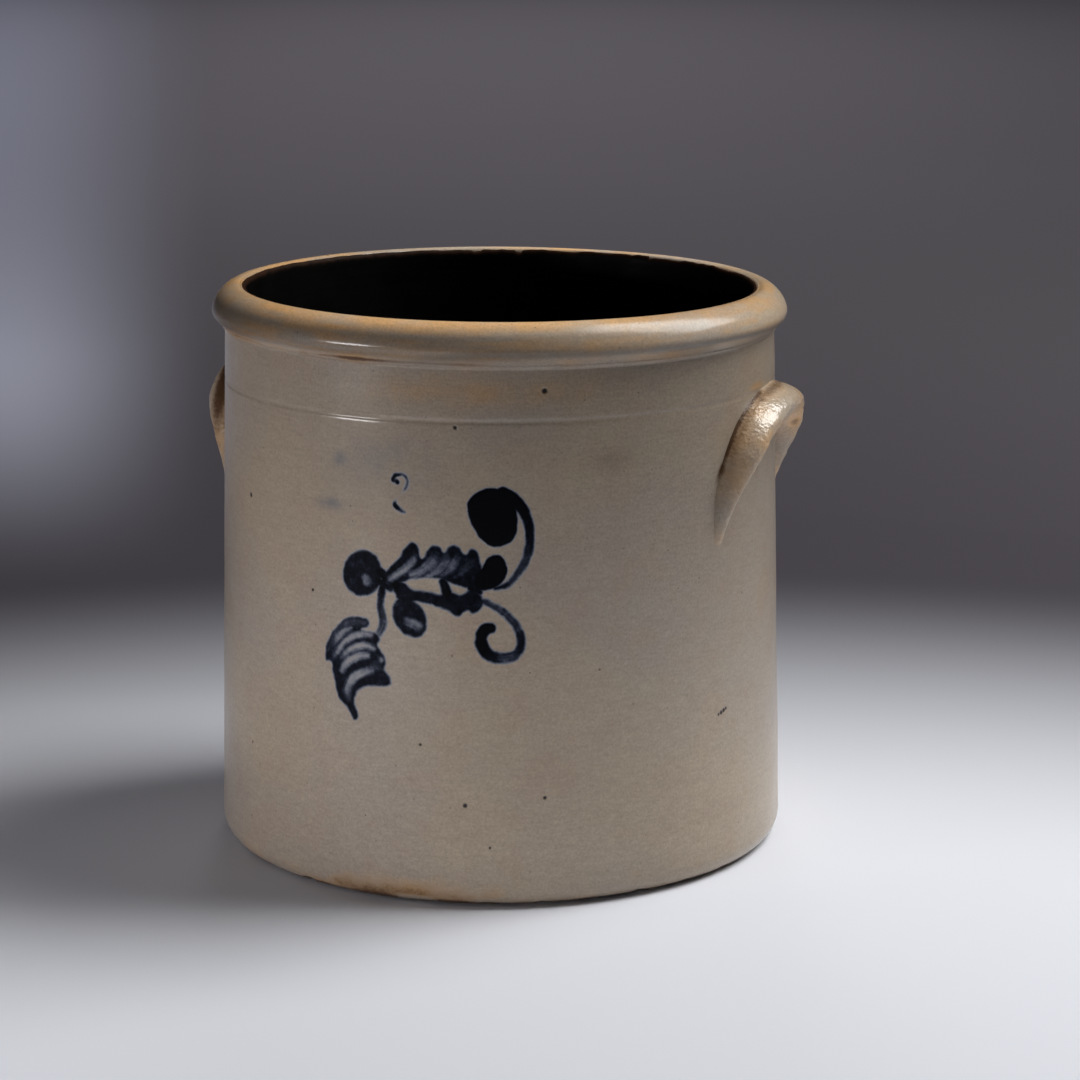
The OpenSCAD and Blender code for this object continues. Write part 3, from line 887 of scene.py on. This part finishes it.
# Pale bands that the finger or brush wiped out of the wet slip
WIPES = {
    "leaf_a": [
        [-35.4, -12.8, 1.8, 0.5], [-39.8, -15.5, 2.3, 0.36], [-42.9, -18.5, 2.3, 0.4],
        [-45.2, -21.9, 1.8, 0.6],
    ],
    "leaf_b": [
        [-24.8, -14.6, 1.8, 0.36], [-29.5, -14.9, 2, 0.26], [-34.3, -16.6, 2, 0.25],
        [-38.7, -19.8, 2, 0.27], [-42.1, -23.8, 2, 0.36], [-44.1, -26.5, 1.8, 0.55],
    ],
    "leaf_c": [
        [-23.3, -20.7, 1.8, 0.34], [-27.9, -20, 2.3, 0.25], [-32.7, -21.3, 2.3, 0.26],
        [-36.8, -23.8, 2, 0.32], [-39.8, -26.8, 1.6, 0.5],
    ],
    "leaf_d": [
        [-26.4, -24.4, 2, 0.32], [-30.8, -25.4, 2.7, 0.25], [-35.1, -27.6, 2.7, 0.27],
        [-38.7, -30.7, 2.7, 0.33], [-40.1, -33.5, 2, 0.5],
    ],
    "leaf_e": [[-18.7, -29.4, 1.8, 0.68], [-23.8, -29.5, 1.8, 0.6], [-27.9, -31, 1.4, 0.7]],
    "leaf_f": [
        [-24.3, -31.7, 1.6, 0.45], [-29, -33, 2.7, 0.3], [-33, -35.4, 3.2, 0.28],
        [-36, -38.9, 3.2, 0.32], [-37.4, -42.6, 3, 0.42], [-36.8, -45.9, 2.3, 0.62],
    ],
    "leaf_top": [
        [-28, -9.4, 2.4, 0.66], [-37, -10.8, 2.6, 0.62], [-44, -16.6, 2.4, 0.62], [-47.4, -24, 2, 0.72],
    ],
    "leaf_dot": [[-19.3, -25.3, 0.9, 0.2], [-19.1, -26, 0.9, 0.2]],
    "feather_1": [
        [-14.6, 12.4, 2.3, 0.42], [-10.7, 15.3, 2.5, 0.36], [-6.8, 18.4, 2.7, 0.42],
        [-3.9, 21.3, 2.9, 0.5], [-2.9, 24.2, 2.3, 0.7],
    ],
    "feather_2": [
        [-3.9, 15.3, 2.7, 0.42], [-0.5, 16.7, 3.2, 0.46], [2.8, 19.2, 3.9, 0.5], [5.6, 22.3, 3.9, 0.56],
        [7, 25.2, 2.7, 0.8],
    ],
    "feather_3": [
        [3.7, 15.5, 2.7, 0.5], [7.9, 17.8, 3.2, 0.5], [10.9, 21, 3.2, 0.52], [12.1, 24, 2.7, 0.62],
    ],
    "feather_4": [
        [10.7, 16.6, 2.7, 0.62], [13.9, 19.5, 3.2, 0.55], [16.2, 22.6, 3.2, 0.56],
        [17.2, 25.1, 2.5, 0.75],
    ],
    "feather_5": [
        [16.7, 15.9, 2.7, 0.75], [20.3, 18.7, 2.9, 0.66], [23.3, 22.1, 2.9, 0.7],
        [24.5, 24.8, 2.3, 0.85],
    ],
    "flower_eye": [[-27.1, 11.7, 3.2, 0.36], [-26.5, 10.3, 3.2, 0.36]],
    "flower_a": [[-34.2, 17.7, 2.3, 0.72], [-32.1, 17, 1.8, 0.72]],
    "flower_b": [[-28.9, 18.5, 2.3, 0.72], [-26.3, 18.3, 1.8, 0.75]],
    "flower_c": [[-34.8, 10.1, 1.8, 0.74], [-33.7, 8.4, 1.8, 0.74]],
    "slit": [[-13.1, 5.3, 1.1, 0], [-14.9, 2.8, 1.2, 0], [-16.1, -0.1, 1, 0]],
    "oval_a": [[-6.3, -6.8, 3.2, 0.52], [-3.5, -7.7, 3.6, 0.44], [-0.6, -8.7, 2.7, 0.46]],
    "oval_b": [[-8.7, -0.9, 1.8, 0.78], [-4.9, -2, 1.8, 0.8]],
}
EDGE_PIGMENT = 0.95
EDGE_SOFT = 0.95
WIPE_SOFT = 1.25
WIPE_WIDEN = 0.45
WIPE_STAIN = 0.09
FAR_OFF = 99.0

# Skins on the wall: mesh size, rise over the wall, fade and dip at the edge, thickness
PATCH_CELL = 0.3
PATCH_RISE = 0.03
PATCH_FADE = 1.4
PATCH_DIP = 0.1
PATCH_T = 0.4


def curve(points, steps=20, closed=False):
    """A smooth curve through points, with their other columns."""
    p = np.array(points, float)
    p = np.vstack([p[-1:], p, p[:2]]) if closed else np.vstack([p[:1], p, p[-1:]])
    t = (np.arange(steps) / steps)[:, None]
    pieces = []
    for a, b, c, d in zip(p, p[1:], p[2:], p[3:]):
        bend = (2 * a - 5 * b + 4 * c - d) * t**2 + (3 * (b - c) + d - a) * t**3
        pieces.append(b + ((c - a) * t + bend) / 2)
    return np.vstack(pieces + ([] if closed else [p[-1:]]))


def stroke_field(points, at, streak=0.34, edge=EDGE_PIGMENT):
    """Distance outside a stroke and its pigment, at places in its own units."""
    c = curve(points)
    heading = np.gradient(c[:, :2], axis=0)
    heading /= np.linalg.norm(heading, axis=1, keepdims=True) + 1e-9
    length = np.append(0, np.cumsum(np.linalg.norm(np.diff(c[:, :2], axis=0), axis=1)))
    distance = np.full(len(at), FAR_OFF)
    pigment = np.zeros(len(at))
    reach = c[:, 2].max() + 5
    near = np.all((at > c[:, :2].min(axis=0) - reach) & (at < c[:, :2].max(axis=0) + reach), axis=1)
    away = at[near][:, None, :] - c[None, :, :2]
    gap = np.linalg.norm(away, axis=2) - c[None, :, 2] / 2
    best = np.argmin(gap, axis=1)
    pick = np.arange(len(best))
    offset = away[pick, best]
    beside = offset[:, 0] * heading[best, 1] - offset[:, 1] * heading[best, 0]
    share = np.clip(np.linalg.norm(offset, axis=1) / (c[best, 2] / 2), 0, 1)
    brush = np.stack([beside, length[best] * 0.11, np.full(len(best), 3.0 * len(points))], axis=-1)
    core = c[best, 3] + streak * noise(brush, (0.9, 0.9, 1.0), 31) * np.clip(1.1 - c[best, 3], 0, 1)
    distance[near] = gap[pick, best]
    pigment[near] = mix(core, np.maximum(core, edge), share**3)
    return distance, pigment


def outline_field(outline, at):
    """Distance outside a smooth closed outline, negative inside."""
    o = curve(outline, 6, closed=True)
    inside = np.zeros(len(at), bool)
    distance = np.full(len(at), FAR_OFF)
    near = np.all((at > o.min(axis=0) - 6) & (at < o.max(axis=0) + 6), axis=1)
    here = at[near]
    crossed = np.zeros(len(here), bool)
    gap = np.full(len(here), FAR_OFF)
    for start, end in zip(o, np.roll(o, -1, axis=0)):
        side = end - start
        t = np.clip((here - start) @ side / (side @ side), 0, 1)
        gap = np.minimum(gap, np.linalg.norm(here - start - t[:, None] * side, axis=1))
        crosses = (start[1] > here[:, 1]) != (end[1] > here[:, 1])
        if side[1] != 0:
            crossed ^= crosses & (here[:, 0] < start[0] + side[0] * (here[:, 1] - start[1]) / side[1])
    inside[near] = crossed
    distance[near] = gap
    return np.where(inside, -distance, distance)


def sprig_field(at):
    """Distance outside the sprig, and its pigment, at places in hundredths of its width."""
    place = np.column_stack([at, np.zeros(len(at))])
    shaky = 0.25 * noise(place, (2.6, 2.6, 1), 32) + 0.08 * noise(place, (0.9, 0.9, 1), 35)
    fields = [(outline_field(outline, at), tone) for tone, outline in SHAPES.values()]
    fields += [stroke_field(points, at) for points in STROKES.values()]
    distance = np.full(len(at), FAR_OFF)
    pigment = np.zeros(len(at))
    for gap, tone in fields:
        gap = gap + shaky
        distance = np.minimum(distance, gap)
        pigment = np.maximum(pigment, tone * smooth(EDGE_SOFT, -1.5 * EDGE_SOFT, gap))
    for points in WIPES.values():
        gap, tone = stroke_field(points, at, 0.2, 0.0)
        wiped = np.minimum(pigment, tone + WIPE_STAIN)
        pigment = mix(pigment, wiped, smooth(WIPE_SOFT, -WIPE_SOFT, gap - WIPE_WIDEN))
    return distance, pigment


def wall_patch(name, material, field, low, high, middle, scale, relief, margin):
    """A thin skin on the wall with painted or pressed strokes; its edge dips under the glaze."""
    across = np.arange(low[0], high[0], PATCH_CELL)
    up = np.arange(low[1], high[1], PATCH_CELL)
    at = np.stack(np.meshgrid(across, up), axis=-1).reshape(-1, 2)
    distance, pigment = field((at - np.array(middle)) / scale)
    distance = distance * scale
    theta, z = at[:, 0] / SPRIG_R, at[:, 1]
    true = around(theta, wall_r(z), z)
    outward = around(theta, np.ones_like(z), np.zeros_like(z))
    rise = PATCH_RISE + relief * smooth(0.4, -1.2, distance)
    rise = rise - (PATCH_RISE + PATCH_DIP) * smooth(margin - PATCH_FADE, margin, distance)
    points = true + outward * (rise - wear(true))[:, None]

    quads = np.array(grid_faces(len(up), len(across)))
    quads = quads[(distance < margin)[quads].any(axis=1)]
    used, new = np.unique(quads, return_inverse=True)
    marks = pot_marks(true[used], np.zeros(len(used)))
    marks["pigment"] = np.clip(pigment[used], 0, 1.4)
    piece = make_piece(name, points[used], new.reshape(-1, 4).tolist(), material, marks)
    solid = piece.modifiers.new("thickness", "SOLIDIFY")
    solid.thickness = PATCH_T * MM
    solid.offset = -1
    return piece


SPRIG_PATCH = dict(
    low=(-42, 70), high=(50, 175), middle=(SPRIG_SHIFT, SPRIG_MID_H),
    scale=SPRIG_W / 100, relief=SPRIG_RELIEF, margin=1.9,
)

# Capacity numeral: one plain figure pressed into the wall, in millimetres from its middle
NUMERAL = [
    [-2.2, 4.2, 1.6, 0.9], [-3.7, 4.9, 1.4, 0.9], [-3, 6.6, 1.2, 0.85], [-0.6, 7.2, 1.1, 0.75],
    [1.4, 6.4, 1.2, 0.6], [2.2, 4.4, 1.3, 0.5], [1.6, 2.2, 1.3, 0.5], [-0.2, -0.4, 1, 0.12],
    [-2, -2.6, 1, 0.15], [-3.1, -4.6, 1.4, 0.85], [-2.2, -5.9, 1.4, 0.9], [-0.4, -7.1, 1.3, 0.7],
    [0.8, -7.6, 1, 0.4],
]


def numeral_field(at):
    distance, pigment = stroke_field(NUMERAL, at, 0.3, 0.0)
    place = np.column_stack([at, np.zeros(len(at))])
    broken = 0.95 + 0.4 * noise(place, (1.6, 1.6, 1), 34)
    return distance, pigment * smooth(1.1, -0.5, distance) * broken


NUMERAL_PATCH = dict(
    low=(-22, 150), high=(13, 185), middle=(-4.6, 167.4), scale=1.0, relief=0.0, margin=1.8,
)


# The object

body_glaze = body_material()
handle_glaze = handle_material()
cobalt = cobalt_material()

pieces = [
    (make_pot(body_glaze), "thrown_body", "salt_glaze"),
    (make_handle("right_strap", handle_glaze, **RIGHT_STRAP), "right_handle", "handle_glaze"),
    (make_handle("left_strap", handle_glaze, **LEFT_STRAP), "left_handle", "handle_glaze"),
    (make_lining(slip_material()), "slip_lining", "slip"),
    (wall_patch("sprig", cobalt, sprig_field, **SPRIG_PATCH), "cobalt_sprig", "cobalt"),
]
for piece, node, slot in pieces:
    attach(piece, "root")
    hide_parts(node)
numeral = wall_patch("capacity_numeral", cobalt, numeral_field, **NUMERAL_PATCH)
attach(numeral, "root")


# Camera, at the photograph's viewing angle

VIEW_TURN = math.radians(17.0)
VIEW_DISTANCE = 1.3232
VIEW_HEIGHT = 0.4239
VIEW_PITCH = math.radians(12.787)
VIEW_YAW = math.radians(0.726)
FOCAL_LENGTH = 106.35
SENSOR_WIDTH = 36.0
RIGHT = Vector((math.cos(VIEW_TURN), math.sin(VIEW_TURN), 0))
AHEAD = Vector((-math.sin(VIEW_TURN), math.cos(VIEW_TURN), 0))


def make_camera():
    data = bpy.data.cameras.new("camera")
    data.lens = FOCAL_LENGTH
    data.sensor_width = SENSOR_WIDTH
    camera = add_object("camera", data)
    level = AHEAD * math.cos(VIEW_YAW) + RIGHT * math.sin(VIEW_YAW)
    look = level * math.cos(VIEW_PITCH) + Vector((0, 0, -math.sin(VIEW_PITCH)))
    camera.location = -AHEAD * VIEW_DISTANCE + Vector((0, 0, VIEW_HEIGHT))
    camera.rotation_euler = look.to_track_quat("-Z", "Y").to_euler()
    bpy.context.scene.camera = camera


# Studio

# A pale floor runs off into painted shade of dark grey, then lighter grey far off, with a pool of cool
# light painted far back on the left. A large soft key is high on the right, weak fills on the left, a
# lamp over the floor behind, and a thin lamp for glints
FLOOR_R = 9.0
FLOOR_SIDES = 96
PALE_FLOOR = linear(238, 242, 253)
SHADED_FLOOR = linear(73, 70, 77)
FAR_FLOOR = linear(150, 146, 154)
PAINTED_GLOW_FLOOR = linear(206, 210, 231)
PALE_MIDDLE = -AHEAD * 0.5
PALE_ENDS = (0.45, 0.98)
DARK_ENDS = (0.9, 3.2)
GLOW_EDGE = (-0.088, -0.16)
GLOW_STARTS = (0.4, 1.3)
GLOW_FADES = (1.5, 3.2, 1.0, 0.95)
WORLD_COLOUR = (0.9, 0.94, 1.0, 1.0)
WORLD_STRENGTH = 0.01

# Lamps: turn to the right of the camera and rise in degrees, distance, the share of the crock's half
# height that is aimed at, size, power, colour, and whether it shows in gloss and lights surfaces
KEY_AT = (101, 54, 1.6)
KEY_SIZE = (0.8, 1.1)
KEY_COLOUR = (1.0, 0.985, 0.945)
LAMPS = {
    "key": (KEY_AT, 1.0, KEY_SIZE, 18.0, KEY_COLOUR, True, True),
    "key_soft": (KEY_AT, 1.0, KEY_SIZE, 10.0, KEY_COLOUR, False, True),
    "left_fill": ((-88, 8, 1.3), 1.0, (0.6, 0.4), 2.0, (1.0, 0.97, 1.02), False, True),
    "low_fill": ((-36, 3, 0.62), 0.3, (0.4, 0.06), 0.52, (1.0, 0.97, 0.96), False, True),
    "upper_fill": ((-58, 40, 1.6), 1.0, (0.3, 0.3), 0.6, (1.0, 0.98, 0.97), False, True),
    "low_side_fill": ((-58, 4, 1.35), 1.0, (0.4, 0.04), 2.0, (1.0, 0.97, 0.98), False, True),
    "glint": ((-58, 12, 1.35), 1.0, (0.4, 0.07), 4.6, (1.0, 0.97, 0.98), True, False),
}
BACKDROP_AT = AHEAD * 4.7 + Vector((0, 0, 2.2))
BACKDROP = ((1.0, 5.0), 28.0, (1.0, 0.97, 1.0), False, True)


def make_floor():
    paint = Paint("floor")
    flat = paint.vector("MULTIPLY", paint.mm, (MM, MM, 0.0))
    away = paint.vector("DISTANCE", flat, tuple(PALE_MIDDLE))
    # Painted shade: the floor darkens into grey away from the crock, then lightens far off
    far = paint.blend(SHADED_FLOOR, FAR_FLOOR, paint.steps(away, *DARK_ENDS))
    # Painted light: a pool of cool light far back on the left
    side = paint.vector("DOT_PRODUCT", flat, tuple(RIGHT))
    depth = paint.vector("DOT_PRODUCT", flat, tuple(AHEAD))
    wedge = paint.math("DIVIDE", side, paint.math("ADD", depth, VIEW_DISTANCE))
    painted_glow = paint.times(paint.steps(wedge, *GLOW_EDGE), paint.steps(depth, *GLOW_STARTS))
    painted_glow = paint.times(painted_glow, paint.steps(depth, *GLOW_FADES))
    far = paint.blend(far, PAINTED_GLOW_FLOOR, painted_glow)
    colour = paint.blend(PALE_FLOOR, far, paint.steps(away, *PALE_ENDS))
    paint.set(Base_Color=colour, Roughness=0.8, Specular_IOR_Level=0.1)
    edge = np.linspace(0, 2 * math.pi, FLOOR_SIDES + 1)[:-1]
    rim = np.stack([np.cos(edge), np.sin(edge), 0 * edge], axis=-1) * FLOOR_R / MM
    faces = fan_faces(0, list(range(1, FLOOR_SIDES + 1)))
    points = np.vstack([[[0, 0, 0]], rim])
    make_piece("floor", points, faces, paint.material)


def on_turn(turn, rise, distance):
    """A place at angles to the right of the camera and above the floor, seen from the crock's foot."""
    turn, rise = math.radians(turn), math.radians(rise)
    level = RIGHT * math.sin(turn) - AHEAD * math.cos(turn)
    return level * distance * math.cos(rise) + Vector((0, 0, distance * math.sin(rise)))


def make_lamp(name, place, heading, size, power, colour, glossy, diffuse):
    """A soft box that the camera doesn't see; it shows in gloss and lights surfaces where said."""
    data = bpy.data.lights.new(name, "AREA")
    data.shape = "RECTANGLE"
    data.size, data.size_y = size
    data.energy = power
    data.color = colour
    lamp = add_object(name, data)
    lamp.location = place
    lamp.rotation_euler = heading.to_track_quat("-Z", "Y").to_euler()
    lamp.visible_camera = False
    lamp.visible_glossy = glossy
    lamp.visible_diffuse = diffuse
    return lamp


def make_world():
    world = bpy.data.worlds.new("studio")
    bpy.context.scene.world = world
    world.use_nodes = True
    fill = world.node_tree.nodes["Background"]
    fill.inputs["Color"].default_value = WORLD_COLOUR
    fill.inputs["Strength"].default_value = WORLD_STRENGTH


def light_studio():
    middle = Vector((0, 0, BODY_H * MM / 2))
    for name, (at, aim, *lamp) in LAMPS.items():
        place = on_turn(*at)
        make_lamp(name, place, middle * aim - place, *lamp)
    backdrop = make_lamp("backdrop", BACKDROP_AT, Vector((0, 0, -1)), *BACKDROP)
    # It lies level and square to the camera
    backdrop.rotation_euler = (0, 0, VIEW_TURN)


make_camera()
make_floor()
make_world()
light_studio()
bpy.context.scene.view_settings.view_transform = "Standard"
